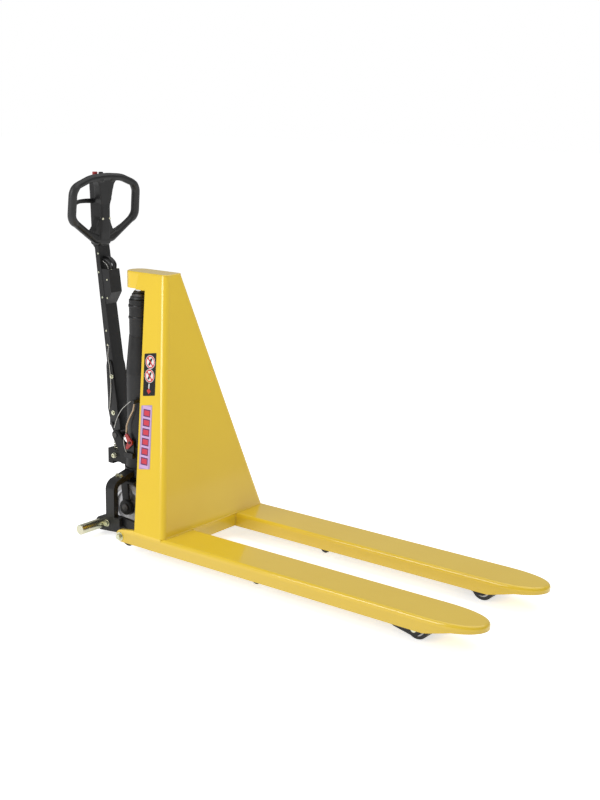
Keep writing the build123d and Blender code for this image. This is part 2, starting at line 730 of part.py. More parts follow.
lever_pivot = (foot_x - 538.0, 1132.0)
with BuildPart() as control_lever:
    rod_y(*lever_pivot, 9, -46, -29)
    with BuildLine():
        FilletPolyline(
            (lever_pivot[0], -40, lever_pivot[1] + 2),
            (lever_pivot[0] + 8, -78, lever_pivot[1] + 8),
            (lever_pivot[0] + 14, -104, lever_pivot[1] - 4),
            (lever_pivot[0] + 16, -118, lever_pivot[1] - 26),
            radius=16,
        )
    with BuildSketch(Plane(origin=(lever_pivot[0], -40, lever_pivot[1] + 2), x_dir=(1, 0, 0), z_dir=(8, -38, 6))):
        RectangleRounded(14, 8, 3)
    sweep()
keep(control_lever, "control_lever")

for name, (button_x, button_y, button_r) in buttons.items():
    with BuildPart() as button:
        rod_z(button_x, button_y, button_r, button_foot, 1236)
        chamfer(button.edges().sort_by(Axis.Z)[-1], length=1.5)
    keep(button, name)

arch_z = 941.0
arch_x = tiller_front(arch_z) + 1.0
with BuildPart() as cable_arch:
    with BuildLine() as arch_route:
        FilletPolyline(
            (arch_x, 4, arch_z),
            (arch_x + 14, 4, 946),
            (arch_x + 30, 4, 940),
            (arch_x + 36, 4, 924),
            (arch_x + 33, 4, box_top + 1.0),
            radius=9,
        )
    with BuildSketch(Plane(origin=arch_route.line @ 0, z_dir=arch_route.line % 0)):
        Circle(3.2)
    sweep()
keep(cable_arch, "cable_arch")
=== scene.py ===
# %% [markdown]
# # A high-lift pallet jack
# The frame from the engineering model is loaded first and never moved. Everything made
# below is either a finish on one of its pieces or a detail that rides on one of its bodies.

# %% Load the frame
import json
from math import cos, pi, radians, sin

import bmesh
import bpy
from mathutils import Matrix, Vector

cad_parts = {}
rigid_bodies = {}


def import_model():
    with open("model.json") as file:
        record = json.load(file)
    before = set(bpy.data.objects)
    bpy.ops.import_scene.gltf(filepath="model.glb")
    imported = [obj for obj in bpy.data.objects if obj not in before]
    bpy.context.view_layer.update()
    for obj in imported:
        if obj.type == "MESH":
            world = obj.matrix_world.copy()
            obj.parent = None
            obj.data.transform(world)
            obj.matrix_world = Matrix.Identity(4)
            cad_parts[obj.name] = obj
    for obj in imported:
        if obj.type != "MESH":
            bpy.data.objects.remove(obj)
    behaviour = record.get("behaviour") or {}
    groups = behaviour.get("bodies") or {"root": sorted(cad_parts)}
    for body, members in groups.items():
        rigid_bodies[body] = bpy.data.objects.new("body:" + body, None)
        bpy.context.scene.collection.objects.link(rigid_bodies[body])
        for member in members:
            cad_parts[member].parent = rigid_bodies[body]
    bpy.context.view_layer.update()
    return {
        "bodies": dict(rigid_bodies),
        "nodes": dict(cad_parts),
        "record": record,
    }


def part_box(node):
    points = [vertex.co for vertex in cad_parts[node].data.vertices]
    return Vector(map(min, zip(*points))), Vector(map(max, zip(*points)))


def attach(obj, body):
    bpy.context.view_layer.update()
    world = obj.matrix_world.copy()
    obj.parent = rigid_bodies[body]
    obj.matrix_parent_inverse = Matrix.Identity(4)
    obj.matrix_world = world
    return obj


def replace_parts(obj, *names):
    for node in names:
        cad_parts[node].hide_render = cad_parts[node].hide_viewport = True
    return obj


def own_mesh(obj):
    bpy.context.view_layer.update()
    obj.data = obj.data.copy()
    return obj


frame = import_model()
print("bodies:", ", ".join(frame["bodies"]))

# %% [markdown]
# The camera stands as high as a person's eyes, a few steps off the near corner of the forks.
# A camera looks along its own -Z, so its three axes are worked out and used as the columns
# of a rotation matrix. A long lens keeps the forks from spreading too much.

# %% Camera
turn, tilt, roll = radians(36.98), radians(13.48), radians(0.94)
back = Vector((sin(turn) * cos(tilt), -cos(turn) * cos(tilt), sin(tilt)))
level = Vector((cos(turn), sin(turn), 0))
upright = back.cross(level)
across = cos(roll) * level + sin(roll) * upright
up = cos(roll) * upright - sin(roll) * level
camera = bpy.data.objects.new("camera", bpy.data.cameras.new("camera"))
camera.data.lens = 57.83
camera.data.clip_end = 60
camera.matrix_world = Matrix.Translation((2.4311, -3.1577, 1.5143)) @ Matrix((across, up,
    back)).transposed().to_4x4()
bpy.context.scene.collection.objects.link(camera)
bpy.context.scene.camera = camera
print("camera at", [round(v, 3) for v in camera.location])

# %% [markdown]
# A product studio is a pale sweep with large soft lamps. One broad lamp stands on the near
# side and lights the long flanks, one hangs over the forks so that their tops shine, and the
# pale world fills the rest.

# %% Studio
world = bpy.data.worlds.new("studio")
world.use_nodes = True
world.node_tree.nodes["Background"].inputs["Color"].default_value = (1, 1, 1, 1)
nodes, links = world.node_tree.nodes, world.node_tree.links
fill = nodes["Background"]
fill.inputs["Strength"].default_value = 0.42
sky = nodes.new("ShaderNodeBackground")
sky.inputs["Color"].default_value = (1, 1, 1, 1)
seen = nodes.new("ShaderNodeLightPath")
either = nodes.new("ShaderNodeMixShader")
links.new(seen.outputs["Is Camera Ray"], either.inputs["Fac"])
links.new(fill.outputs[0], either.inputs[1])
links.new(sky.outputs[0], either.inputs[2])
links.new(either.outputs[0], nodes["World Output"].inputs["Surface"])
bpy.context.scene.world = world
bpy.context.scene.view_settings.view_transform = "Standard"


def lamp(name, place, target, size, power):
    """A square soft lamp that faces a target."""
    light = bpy.data.lights.new(name, "AREA")
    light.size, light.energy = size, power
    holder = bpy.data.objects.new(name, light)
    holder.location = place
    holder.rotation_euler = (Vector(target) - Vector(place)).to_track_quat("-Z", "Y").to_euler()
    bpy.context.scene.collection.objects.link(holder)
    return holder


lamp("side_softbox", (-1.4, -3.6, 2.4), (-0.4, 0, 0.5), 2.2, 75)
lamp("overhead_softbox", (0.6, 0.8, 3.2), (0.2, 0, 0.1), 3.6, 47)

# %% [markdown]
# Shader arithmetic reads best as arithmetic. `Value` wraps one output of a node, and its
# operators add Math nodes. `Finish` owns a material: `add` makes any node, and `put` sets
# sockets from numbers or from links.


# %% Material tools
class Value:
    """One output of a shader node, used in sums as if it were a number."""

    def __init__(self, finish, socket):
        self.finish, self.socket = finish, socket

    def join(self, operation, other, swapped=False):
        pair = (other, self) if swapped else (self, other)
        return self.finish.add("ShaderNodeMath", {"operation": operation}, {0: pair[0], 1: pair[1]})

    def __add__(self, other):
        return self.join("ADD", other)

    def __radd__(self, other):
        return self.join("ADD", other)

    def __mul__(self, other):
        return self.join("MULTIPLY", other)

    def __rmul__(self, other):
        return self.join("MULTIPLY", other)

    def __sub__(self, other):
        return self.join("SUBTRACT", other)

    def __rsub__(self, other):
        return self.join("SUBTRACT", other, True)

    def __lt__(self, other):
        return self.join("LESS_THAN", other)

    def __gt__(self, other):
        return self.join("GREATER_THAN", other)

    def __pow__(self, other):
        return self.join("POWER", other)

    def __abs__(self):
        return self.join("ABSOLUTE", 0.0)


class Finish:
    """A material built node by node around one Principled shader."""

    def __init__(self, name, **constants):
        self.material = bpy.data.materials.new(name)
        self.material.use_nodes = True
        self.tree = self.material.node_tree
        self.shader = self.tree.nodes["Principled BSDF"]
        self.put(self.shader, {key.replace("_", " ").title().replace("Ior", "IOR"): value for key,
            value in constants.items()})
        self.where = self.add("ShaderNodeTexCoord", output="Object")

    def put(self, node, sockets):
        for key, value in sockets.items():
            if isinstance(value, Value):
                self.tree.links.new(value.socket, node.inputs[key])
            else:
                node.inputs[key].default_value = value

    def add(self, kind, settings=None, sockets=None, output=0):
        node = self.tree.nodes.new(kind)
        for key, value in (settings or {}).items():
            if key == "stops":
                while len(node.color_ramp.elements) < len(value):
                    node.color_ramp.elements.new(0.5)
                for stop, (place, color) in zip(node.color_ramp.elements, value):
                    stop.position, stop.color = place, (*color, 1)
            else:
                setattr(node, key, value)
        self.put(node, sockets or {})
        return Value(self, node.outputs[output])

    def noise(self, scale, detail=3.0, stretch=(1, 1, 1)):
        """Noise from 0 to 1 on the object's own coordinates, in cells per metre."""
        spot = self.add("ShaderNodeMapping", sockets={"Vector": self.where, "Scale": stretch})
        return self.add("ShaderNodeTexNoise", sockets={"Vector": spot, "Scale": scale, "Detail": detail})

    def ramp(self, value, low, high):
        """0 below low, 1 above high."""
        return self.add("ShaderNodeMapRange", {"clamp": True},
            {"Value": value, "From Min": low, "From Max": high})

    def mix(self, factor, first, second):
        """One colour over another."""
        colors = {6: (*first, 1) if isinstance(first, tuple) else first,
            7: (*second, 1) if isinstance(second, tuple) else second}
        return self.add("ShaderNodeMix", {"data_type": "RGBA"}, {0: factor, **colors}, 2)

    def relief(self, height, distance, edge=0.0):
        """Bump from a height, over edges that a bevel node rounds a little."""
        sockets = {"Height": height, "Distance": distance, "Strength": 1.0}
        if edge:
            sockets["Normal"] = self.add("ShaderNodeBevel", {"samples": 4}, {"Radius": edge})
        self.put(self.shader, {"Normal": self.add("ShaderNodeBump", sockets=sockets)})

    def axes(self):
        """The object coordinates one by one."""
        return [self.add("ShaderNodeSeparateXYZ", sockets={"Vector": self.where}, output=i) for i in range(3)]


finishes = {}
print("material tools ready")

# %% [markdown]
# The mast and forks are sprayed with gloss enamel. Real enamel is not one flat colour: it
# varies a little with film thickness, has a faint orange-peel ripple under a clear shine,
# and picks up dust and dull rubbing low down. Below the height of the fork tops the yellow
# is also painted darker, as painted shade on the fork sides. A clear coat carries the shine,
# so the colour below can stay satin.

# %% Yellow enamel
def enamel(name, color, deep, edge):
    paint = Finish(name, roughness=0.32, coat_roughness=0.06)
    paint.put(paint.shader, {"Coat Weight": 0.85, "Coat IOR": 1.5})
    cloud = paint.ramp(paint.noise(5.0, 4.0), 0.3, 0.75)
    scuff = paint.ramp(paint.noise(120.0, 6.0, (0.25, 1, 1)), 0.66, 0.80)
    height = paint.axes()[2]
    low = 1.0 - paint.ramp(height, 0.03, 0.16)
    tone = paint.mix(cloud * 0.5, color, deep)
    # Painted shade: below the fork tops the yellow is darkened, standing in for the shade on the fork sides.
    painted_fork_side_shade = 1.0 - paint.ramp(height, 0.070, 0.085)
    tone = paint.mix(painted_fork_side_shade * 0.55, tone, tuple(c * 0.72 for c in deep))
    dust = paint.mix(scuff * low * 0.28, tone, (0.42, 0.36, 0.22))
    paint.put(paint.shader, {"Base Color": dust})
    paint.put(paint.shader, {"Roughness": 0.28 + cloud * 0.08 + scuff * 0.12})
    peel = paint.noise(420.0, 2.0) + paint.noise(60.0, 1.0) * 0.6
    paint.relief(peel, 0.00006, edge)
    return paint.material


finishes["yellow_paint"] = enamel("yellow_enamel", (0.84, 0.578, 0.018), (0.78, 0.515, 0.013), 0.0015)
print("yellow enamel made")

# %% [markdown]
# Hidden brackets, arms and the tiller are black. The tiller is powder coated, which is
# satin with a fine pebble. The pump is cast iron under black paint, so it is rougher.

# %% Black powder coat and painted casting
def black(name, shade, roughness, grain, depth, edge, coat=0.0):
    paint = Finish(name, coat_roughness=0.15, metallic=0.0)
    paint.put(paint.shader, {"Coat Weight": coat, "Specular IOR Level": 0.34})
    speck = paint.noise(grain, 4.0)
    cloud = paint.ramp(paint.noise(18.0, 5.0), 0.35, 0.75)
    dusty = paint.ramp(paint.noise(70.0, 6.0), 0.55, 0.80)
    tone = paint.mix(cloud, shade, tuple(c * 1.7 for c in shade))
    paint.put(paint.shader, {"Base Color": paint.mix(dusty * 0.05, tone, (0.20, 0.18, 0.15))})
    paint.put(paint.shader, {"Roughness": roughness + cloud * 0.10 + dusty * 0.06})
    paint.relief(speck, depth, edge)
    return paint.material


finishes["black_paint"] = black("black_powder_coat", (0.0065, 0.0065, 0.0068), 0.34, 900.0, 0.00005, 0.0010,
    0.12)
finishes["cast_body"] = black("painted_casting", (0.0055, 0.0054, 0.0054), 0.46, 260.0, 0.00035, 0.0020)
print("black finishes made")

# %% [markdown]
# Four metals: the ram rod is hard chrome, polished along its length; the bolts and the
# stabiliser bar are zinc plated with the yellow-green passivate that shifts in patches;
# rollers are blackened steel; wheel hubs are cast aluminium.

# %% Metals
def metal(name, color, second, roughness, stretch, patch=8.0):
    steel = Finish(name, metallic=1.0)
    patches = steel.ramp(steel.noise(patch, 4.0), 0.35, 0.70)
    streak = steel.noise(260.0, 5.0, stretch)
    steel.put(steel.shader, {"Base Color": steel.mix(patches, color, second)})
    steel.put(steel.shader, {"Roughness": roughness + streak * 0.14 + patches * 0.06})
    steel.relief(streak, 0.00004, 0.0008)
    return steel.material


finishes["chrome_steel"] = metal("chromed_rod", (0.80, 0.80, 0.82), (0.72, 0.72, 0.75), 0.05, (1, 1, 0.02))
finishes["zinc_steel"] = metal("zinc_plate", (0.72, 0.69, 0.52), (0.62, 0.66, 0.50), 0.16, (1, 0.05, 1), 45.0)
finishes["dark_steel"] = metal("blackened_steel", (0.08, 0.08, 0.085), (0.14, 0.13, 0.12), 0.34, (1, 0.3, 1),
    60.0)
finishes["hub_metal"] = metal("cast_aluminium", (0.50, 0.50, 0.52), (0.60, 0.60, 0.61), 0.38, (1, 1, 1), 90.0)
print("metals made")

# %% [markdown]
# Tyres are solid polymer. The steered wheels are grey and turned smooth, with fine rings
# from the lathe and dirt on the running face. The load rollers are black nylon. Both get
# fine scratches round the tread, so the noise is stretched along the wheel's axle.

# %% Tyres
def tyre(name, color, worn, roughness):
    rubber = Finish(name)
    grime = rubber.ramp(rubber.noise(55.0, 6.0), 0.45, 0.75)
    rings = rubber.noise(700.0, 2.0, (0.04, 1, 0.04))
    rubber.put(rubber.shader, {"Base Color": rubber.mix(grime * 0.7, color, worn)})
    rubber.put(rubber.shader, {"Roughness": roughness + grime * 0.2})
    rubber.relief(rings, 0.00012, 0.0010)
    return rubber.material


finishes["grey_tyre"] = tyre("grey_tread", (0.36, 0.35, 0.35), (0.22, 0.21, 0.20), 0.45)
finishes["black_tyre"] = tyre("black_tread", (0.016, 0.016, 0.017), (0.050, 0.048, 0.045), 0.36)
print("tyres made")

# %% [markdown]
# The grip is a soft-feel moulding, and the box, stem, lever and one button are hard
# plastic with a spark-eroded grain. Grain is a fine Voronoi-like bump, only a few hundredths
# of a millimetre deep. The stop button and the release lever are gloss red.

# %% Mouldings
def moulding(name, color, lighter, roughness, grain, depth, coat=0.0):
    plastic = Finish(name, coat_roughness=0.1)
    plastic.put(plastic.shader, {"Coat Weight": coat, "Specular IOR Level": 0.40})
    cells = plastic.add("ShaderNodeTexVoronoi", sockets={"Vector": plastic.where, "Scale": grain})
    rub = plastic.ramp(plastic.noise(30.0, 5.0), 0.45, 0.75)
    plastic.put(plastic.shader, {"Base Color": plastic.mix(rub * 0.6, color, lighter)})
    plastic.put(plastic.shader, {"Roughness": roughness - rub * 0.08 + cells * 0.05})
    plastic.relief(cells, depth, 0.0012)
    return plastic.material


finishes["grip_rubber"] = moulding("soft_grip", (0.016, 0.016, 0.017), (0.030, 0.030, 0.031), 0.42, 900.0,
    0.00008)
finishes["black_plastic"] = moulding("black_moulding", (0.008, 0.008, 0.0085), (0.017, 0.017, 0.018), 0.40,
    1200.0, 0.00006)
finishes["red_plastic"] = moulding("red_moulding", (0.34, 0.008, 0.008), (0.42, 0.020, 0.016), 0.24, 600.0,
    0.00002, 0.5)
finishes["cable_sheath"] = moulding("cable_sheath", (0.50, 0.38, 0.26), (0.38, 0.27, 0.18), 0.45, 900.0,
    0.00005)
print("mouldings made")

# %% [markdown]
# Two stickers sit on the near flank. Their real marks are left out. The dark one carries
# two plain pale discs with red rings and a small arrow, drawn from distances to a centre;
# the lilac one has only a darker frame and a row of plain bars. The flank leans inwards, so
# height along it is taken from the object's own Z, and the middle line of a sticker moves
# back as it rises.

# %% Stickers
edge_slope = 0.155


def sticker(node):
    """A film with its coordinates: the distance across from the leaning middle line, and z."""
    low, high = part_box(node)
    middle = [(a + b) / 2 for a, b in zip(low, high)]
    film = Finish(node + "_film", roughness=0.25)
    x, _, z = film.axes()
    across = x - (z * -edge_slope + (middle[0] + middle[2] * edge_slope))
    return film, across, z, low, high, middle


safety, side, z, low, high, middle = sticker("safety_label")
tall = high[2] - low[2]
shown = (0.008, 0.008, 0.009)
for share in (0.78, 0.47):
    rise = z - (low[2] + tall * share)
    radius = (side * side + rise * rise) ** 0.5
    disc = (radius < 0.0215) * 1.0
    ring = (radius < 0.0200) * (radius > 0.0158)
    bar = (abs(side + rise) < 0.0038) * (radius < 0.018)
    figure = (abs(side * 0.9 - rise * 0.4) < 0.0040) * (abs(rise) < 0.0120)
    shown = safety.mix(disc, shown, (0.80, 0.80, 0.78))
    shown = safety.mix(figure * disc, shown, (0.02, 0.02, 0.02))
    shown = safety.mix(ring, shown, (0.62, 0.05, 0.04))
    shown = safety.mix(bar, shown, (0.62, 0.05, 0.04))
stem = (abs(side) < 0.0022) * (abs(z - (low[2] + tall * 0.20)) < 0.014)
head = (abs(side) + abs(z - (low[2] + tall * 0.13)) < 0.0095)
shown = safety.mix(stem, shown, (0.80, 0.80, 0.78))
shown = safety.mix(head, shown, (0.55, 0.04, 0.03))
fleck = safety.noise(180.0, 4.0)
safety.put(safety.shader, {"Base Color": shown, "Roughness": 0.20 + fleck * 0.16})
safety.relief(fleck, 0.00003)
finishes["label_film"] = safety.material

panel, side, z, low, high, middle = sticker("name_panel")
rise = z - middle[2]
half = (high[2] - low[2]) / 2
inside = (abs(side) < 0.0190) * (abs(rise) < half - 0.006)
pitch = (2 * half - 0.026) / 6
cell = panel.add("ShaderNodeMath", {"operation": "WRAP"}, {0: rise + pitch / 2, 1: pitch / 2, 2: -pitch / 2})
block = (abs(cell) < pitch * 0.39) * (abs(side) < 0.0158) * (abs(rise) < half - 0.012)
core = (abs(cell) < pitch * 0.27) * (abs(side) < 0.0122) * (abs(rise) < half - 0.012)
shown = panel.mix(inside, (0.44, 0.30, 0.52), (0.62, 0.40, 0.66))
shown = panel.mix(block, shown, (0.10, 0.03, 0.12))
shown = panel.mix(core, shown, (0.62, 0.05, 0.08))
fleck = panel.noise(150.0, 4.0)
panel.put(panel.shader, {"Base Color": shown, "Roughness": 0.22 + fleck * 0.16})
panel.relief(fleck, 0.00003)
finishes["panel_film"] = panel.material
print("stickers made")

# %% [markdown]
# Every node of the frame names the material slot it belongs to, so one loop dresses them.

# %% Dress the frame
slot_of = {entry["node"]: entry["material_slot"] for entry in frame["record"]["subparts"]}
for node, piece in frame["nodes"].items():
    for holder in piece.material_slots:
        holder.material = finishes[slot_of[node]]
for node in ("steer_axle", "tiller_pin"):
    for holder in frame["nodes"][node].material_slots:
        holder.material = finishes["dark_steel"]
print(len(slot_of), "nodes dressed")

# %% [markdown]
# The moulded handle, plates, wires and welds are new meshes. A few small helpers make them:
# a closed solid from its faces, a plate cut from an outline, a part turned on a lathe, a tube
# along a smooth line, and one that hands a finished mesh to its body with its material.

# %% Mesh helpers
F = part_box("left_fork")[1][0] - 1.170
ram_x = F - 0.330


def place(name, mesh, finish, body, slot, sharp=38):
    """Puts a mesh in the scene, riding on a body, with smooth faces and crisp edges."""
    mesh.materials.clear()
    mesh.materials.append(finish)
    mesh.shade_smooth()
    mesh.set_sharp_from_angle(angle=radians(sharp))
    piece = bpy.data.objects.new(name, mesh)
    bpy.context.scene.collection.objects.link(piece)
    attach(piece, body)
    return piece


def solid(name, points, faces, bevel=0.0, steps=2):
    """A closed mesh with its faces turned outwards and its edges rounded."""
    mesh = bpy.data.meshes.new(name)
    shape = bmesh.new()
    corners = [shape.verts.new(p) for p in points]
    for face in faces:
        shape.faces.new([corners[i] for i in face])
    bmesh.ops.remove_doubles(shape, verts=shape.verts[:], dist=1e-6)
    bmesh.ops.recalc_face_normals(shape, faces=shape.faces[:])
    if bevel:
        edges = [e for e in shape.edges if len(e.link_faces) == 2 and e.calc_face_angle() > radians(30)]
        bmesh.ops.bevel(shape, geom=edges, offset=bevel, segments=steps, profile=0.5, affect="EDGES",
            clamp_overlap=True)
    shape.to_mesh(mesh)
    shape.free()
    return mesh


def plate(name, outline, y0, y1, bevel=0.001):
    """A plate with an outline of (x, z) points between two values of y."""
    n = len(outline)
    points = [(x, y0, z) for x, z in outline] + [(x, y1, z) for x, z in outline]
    faces = [tuple(range(n)), tuple(range(2 * n - 1, n - 1, -1))]
    faces += [(i, (i + 1) % n, n + (i + 1) % n, n + i) for i in range(n)]
    return solid(name, points, faces, bevel)


def turned(name, profile, centre, axis=(0, 1, 0), steps=64):
    """A closed ring of (radius, distance along the axis) points, spun round the axis."""
    axis = Vector(axis).normalized()
    first = axis.orthogonal().normalized()
    second = axis.cross(first)
    points, faces, n = [], [], len(profile)
    for k in range(steps):
        a = 2 * pi * k / steps
        ray = first * cos(a) + second * sin(a)
        points += [Vector(centre) + ray * max(r, 1e-5) + axis * t for r, t in profile]
    for k in range(steps):
        m = (k + 1) % steps
        faces += [(k * n + i, k * n + (i + 1) % n, m * n + (i + 1) % n, m * n + i) for i in range(n)]
    return solid(name, points, faces)


def smooth_line(points, steps=8):
    """Points along a smooth line through the given ones."""
    p = [Vector(q) for q in points]
    p = [2 * p[0] - p[1]] + p + [2 * p[-1] - p[-2]]
    line = []
    for a, b, c, d in zip(p, p[1:], p[2:], p[3:]):
        for k in range(steps):
            t = k / steps
            line.append(0.5 * (2 * b + (c - a) * t + (2 * a - 5 * b + 4 * c - d) * t * t
                + (3 * b - a - 3 * c + d) * t ** 3))
    return line + [p[-2]]


def tube(name, line, radius, sides=12, closed=False, flat=1.0, width=None):
    """A round or oval tube along a line. width gives a radius for each point."""
    points, faces, n = [], [], len(line)
    normal = None
    for i, spot in enumerate(line):
        ahead = line[(i + 1) % n] if closed or i + 1 < n else spot
        behind = line[i - 1] if closed or i else spot
        along = (ahead - behind).normalized()
        normal = (along.orthogonal() if normal is None else normal - along * normal.dot(along)).normalized()
        across_line = along.cross(normal)
        r = width[i] if width else radius
        points += [spot + (normal * cos(2 * pi * k / sides) * r + across_line * sin(2 * pi * k / sides) * r
            * flat) for k in range(sides)]
    for i in range(n if closed else n - 1):
        j = (i + 1) % n
        faces += [(i * sides + k, i * sides + (k + 1) % sides, j * sides + (k + 1) % sides, j * sides + k)
            for k in range(sides)]
    if not closed:
        faces += [tuple(range(sides)), tuple(range((n - 1) * sides, n * sides))]
    return solid(name, points, faces)


print("foot of the mast at x =", round(F, 4))

# %% [markdown]
# The handle is one rubber-skinned moulding: a loop, a stem, and webs that flow into each
# other. Such a shape is roughed out from simple closed solids that overlap, fused with a
# voxel Remesh and then smoothed, so the joints turn into soft fillets by themselves.

# %% Handle moulding
lean = radians(5.2)
set_back, foot_height = 0.5057, 1.004
loop_foot = Vector((F - set_back, 0, foot_height))
rise_way = Vector((sin(lean), 0, cos(lean)))


def on_loop(y, height, out=0.0):
    """A point in the loop's own leaning plane."""
    return loop_foot + Vector((0, y, 0)) + rise_way * height + Vector((cos(lean), 0, -sin(lean))) * out


def bend(corners, radii, steps=9):
    """A closed outline with each corner turned into an arc."""
    line = []
    n = len(corners)
    for i, radius in enumerate(radii):
        here, before, after = (Vector(corners[k % n]) for k in (i, i - 1, i + 1))
        a, b = (before - here).normalized(), (after - here).normalized()
        half = a.angle(b) / 2
        reach = radius / max(1e-6, (sin(half) / cos(half)))
        centre = here + (a + b).normalized() * (radius / sin(half))
        start, stop = here + a * reach, here + b * reach
        for k in range(steps + 1):
            t = k / steps
            way = ((start - centre) * (1 - t) + (stop - centre) * t).normalized()
            line.append(centre + way * radius)
    return line


corners = [(0, 0.219), (0.072, 0.214), (0.149, 0.186), (0.151, 0.078), (0.040, 0.002),
           (-0.040, 0.002), (-0.151, 0.078), (-0.149, 0.186), (-0.072, 0.214)]
radii = [0.300, 0.120, 0.042, 0.034, 0.026, 0.026, 0.034, 0.042, 0.120]
flat_line = bend(corners, radii)
dense = []
for a, b in zip(flat_line, flat_line[1:] + flat_line[:1]):
    count = max(1, int((b - a).length / 0.006))
    dense += [a.lerp(b, k / count) for k in range(count)]
line = [on_loop(p.x, p.y) for p in dense]
swell = [0.0128 + 0.0022 * max(0.0, min(1.0, (abs(p.x) - 0.128) / 0.012)) for p in dense]
loop_mesh = tube("loop_rough", line, 0.014, 20, closed=True, width=swell)


def stem_section(z, front, rear, half, corner=9.0):
    """A rounded rectangle at one height, as a superellipse."""
    ring = []
    for k in range(28):
        a = 2 * pi * k / 28
        c, s = cos(a), sin(a)
        x = (abs(c) ** (2 / corner)) * (1 if c > 0 else -1)
        y = (abs(s) ** (2 / corner)) * (1 if s > 0 else -1)
        ring.append(((front + rear) / 2 + (front - rear) / 2 * x, half * y, z))
    return ring


stations = [
    (0.9770, -0.5060, -0.5290, 0.0235), (0.9860, -0.5000, -0.5330, 0.0255),
    (0.9900, -0.4950, -0.5390, 0.0290),
    (1.0010, -0.4930, -0.5400, 0.0290), (1.0040, -0.4930, -0.5390, 0.0240),
    (1.0300, -0.4900, -0.5420, 0.0225),
    (1.0800, -0.4870, -0.5450, 0.0218), (1.1200, -0.4865, -0.5465, 0.0215),
    (1.1600, -0.4860, -0.5480, 0.0218),
    (1.1850, -0.4830, -0.5485, 0.0228), (1.2050, -0.4800, -0.5480, 0.0240),
    (1.2180, -0.4815, -0.5460, 0.0245),
    (1.2250, -0.4900, -0.5400, 0.0220),
]
rings = [stem_section(z, F + front, F + rear, half) for z, front, rear, half in stations]
points = [p for ring in rings for p in ring]
faces = [tuple(range(28)), tuple(range((len(rings) - 1) * 28, len(rings) * 28))]
for i in range(len(rings) - 1):
    faces += [(i * 28 + k, i * 28 + (k + 1) % 28, (i + 1) * 28 + (k + 1) % 28, (i + 1) * 28 + k)
        for k in range(28)]
stem_mesh = solid("stem_rough", points, faces)


def web(name, outline, front, behind):
    """A flat web in the loop's plane, between two offsets from it."""
    n = len(outline)
    points = [on_loop(y, h, front) for y, h in outline] + [on_loop(y, h, behind) for y, h in outline]
    faces = [tuple(range(n)), tuple(range(2 * n - 1, n - 1, -1))]
    faces += [(i, (i + 1) % n, n + (i + 1) % n, n + i) for i in range(n)]
    return solid(name, points, faces)


def arm(name, side, ends):
    """An arm that grows as deep as the stem. Each end is (y, low, high, front, behind)."""
    points = [on_loop(side * y, h, out) for y, low, high, front, behind in ends for h, out in
              ((low, front), (high, front), (high, behind), (low, behind))]
    faces = [(0, 1, 2, 3), (len(points) - 4, len(points) - 3, len(points) - 2, len(points) - 1)]
    for k in range(len(ends) - 1):
        faces += [(4 * k + i, 4 * k + (i + 1) % 4, 4 * k + 4 + (i + 1) % 4, 4 * k + 4 + i) for i in range(4)]
    return solid(name, points, faces)


foot_web = [(0.054, 0.030), (0.046, 0.034), (0.039, 0.042), (0.033, 0.054), (0.027, 0.070), (0.018, 0.084)]
head_web = [(0.052, 0.212), (0.041, 0.203), (0.034, 0.190), (0.029, 0.168), (0.025, 0.140), (0.018, 0.115)]
webs = [
    web("lower_web", [(-y, h) for y, h in foot_web] + foot_web[::-1] + [(0.020, 0.004), (-0.020, 0.004)],
    0.0050, -0.0240),
    web("upper_web", [(-y, h) for y, h in head_web] + head_web[::-1], 0.0080, -0.0240),
]
for side in (-1, 1):
    webs.append(arm("lower_arm", side,
        [(0.118, 0.046, 0.064, 0.008, -0.008), (0.070, 0.012, 0.034, 0.009, -0.018),
        (0.020, -0.006, 0.012, 0.009, -0.034)]))
    webs.append(arm("upper_arm", side,
        [(0.080, 0.200, 0.220, 0.008, -0.008), (0.050, 0.204, 0.224, 0.010, -0.018),
        (0.018, 0.204, 0.224, 0.012, -0.034)]))
rough = bmesh.new()
for mesh in [loop_mesh, stem_mesh, *webs]:
    rough.from_mesh(mesh)
handle_mesh = bpy.data.meshes.new("handle_rough")
rough.to_mesh(handle_mesh)
rough.free()
maker = bpy.data.objects.new("handle_maker", handle_mesh)
bpy.context.scene.collection.objects.link(maker)
fuse = maker.modifiers.new("fuse", "REMESH")
fuse.mode, fuse.voxel_size = "VOXEL", 0.0019
soften = maker.modifiers.new("soften", "SMOOTH")
soften.factor, soften.iterations = 0.5, 6
graph = bpy.context.evaluated_depsgraph_get()
handle_mesh = bpy.data.meshes.new_from_object(maker.evaluated_get(graph), depsgraph=graph)
bpy.data.objects.remove(maker)
print("handle has", len(handle_mesh.polygons), "faces")

# %% [markdown]
# The skin of the grips is a little softer and paler than the hard stem, because hands
# polish it. A mask on the distance from the middle plane picks the grips out, and a fine
# parting line runs round the loop where the two halves of the mould met.

# %% Handle skin
skin = Finish("handle_skin", coat_roughness=0.2)
skin.put(skin.shader, {"Coat Weight": 0.08, "Specular IOR Level": 0.36})
x, y, z = skin.axes()
grip = skin.ramp(abs(y), 0.126, 0.138)
pebble = skin.add("ShaderNodeTexVoronoi", sockets={"Vector": skin.where, "Scale": 1100.0})
rub = skin.ramp(skin.noise(26.0, 5.0), 0.40, 0.75)
skin.put(skin.shader, {"Base Color": skin.mix(grip * 0.7 + rub * 0.2, (0.0055, 0.0055, 0.0058),
    (0.030, 0.030, 0.031))})
skin.put(skin.shader, {"Roughness": 0.34 + pebble * 0.08 - rub * 0.06 + grip * 0.04})
parting = abs(x - (z * sin(lean) + (F - set_back - foot_height * sin(lean)))) < 0.0003
skin.relief(pebble * (0.25 + grip * 0.75) + parting * 1.4, 0.00010)
handle = place("handle_moulding", handle_mesh, skin.material, "tiller", "grip_rubber", 60)
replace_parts(handle, "handle_loop", "handle_stem")
print("handle made")

# %% [markdown]
# The control lever is a curved finger of the same moulding, thick at the stem and hooked
# down at its tip, so a finger can pull it from the grip.

